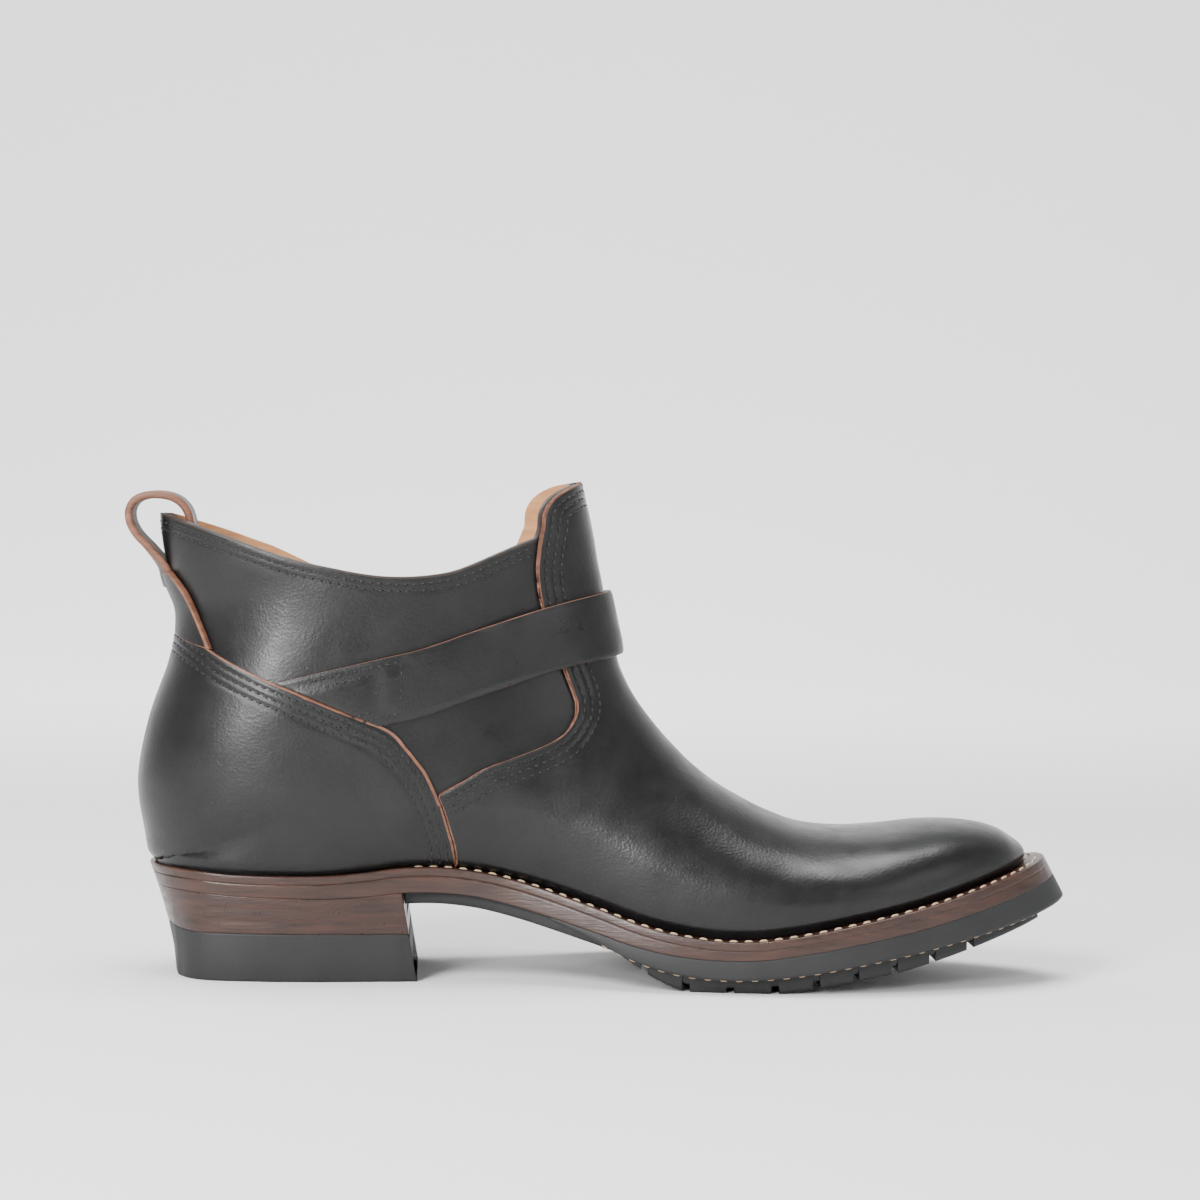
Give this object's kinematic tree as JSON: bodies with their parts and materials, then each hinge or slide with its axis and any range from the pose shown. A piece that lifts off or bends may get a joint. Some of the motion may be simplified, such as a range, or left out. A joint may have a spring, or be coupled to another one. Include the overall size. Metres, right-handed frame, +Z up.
{
  "type": "jodhpur boot",
  "caption": "Left ankle boot with a vamp and front flap, heel counter, ankle strap and buckle, pull loop, welted leather sole, stacked heel and rubber tread",
  "frame": {"origin": "On the floor under the middle of the flat heel", "axes": "+X points to the toe, +Y to the outer side of the left foot, +Z up from the floor"},
  "size_m": [0.3161, 0.1052, 0.1651],
  "materials": {
    "upper_leather": "black grained leather, semi-gloss, with a tan lining inside",
    "vamp_leather": "black grained leather, semi-gloss, copper-brown cut edges, three rows of black stitches",
    "counter_leather": "black grained leather, semi-gloss, copper-brown cut edges, three rows of black stitches",
    "strap_leather": "black grained leather, semi-gloss, copper-brown cut edges, a stitched box at the rear end",
    "loop_leather": "black grained leather outside, dark grey-olive inside, copper-brown cut edges",
    "buckle_strap_leather": "black grained leather, semi-gloss, copper-brown cut edges",
    "buckle_metal": "satin nickel-plated steel",
    "prong_metal": "satin nickel-plated steel",
    "insole_leather": "tan smooth leather, matt",
    "welt_leather": "dark reddish brown waxed leather, cream stitches",
    "midsole_leather": "dark reddish brown waxed leather edge, satin",
    "heel_leather": "dark reddish brown stacked leather, satin, faint level grain",
    "heel_rubber": "matt black rubber",
    "sole_rubber": "matt grey-black rubber"
  },
  "bodies": {
    "root": {"upper": "upper_leather", "vamp": "vamp_leather", "counter": "counter_leather", "strap": "strap_leather", "pull_loop": "loop_leather", "buckle_strap": "buckle_strap_leather", "buckle_frame": "buckle_metal", "buckle_prong": "prong_metal", "insole": "insole_leather", "welt": "welt_leather", "midsole": "midsole_leather", "heel_stack": "heel_leather", "heel_lift": "heel_rubber", "outsole": "sole_rubber"}
  },
  "joints": []
}
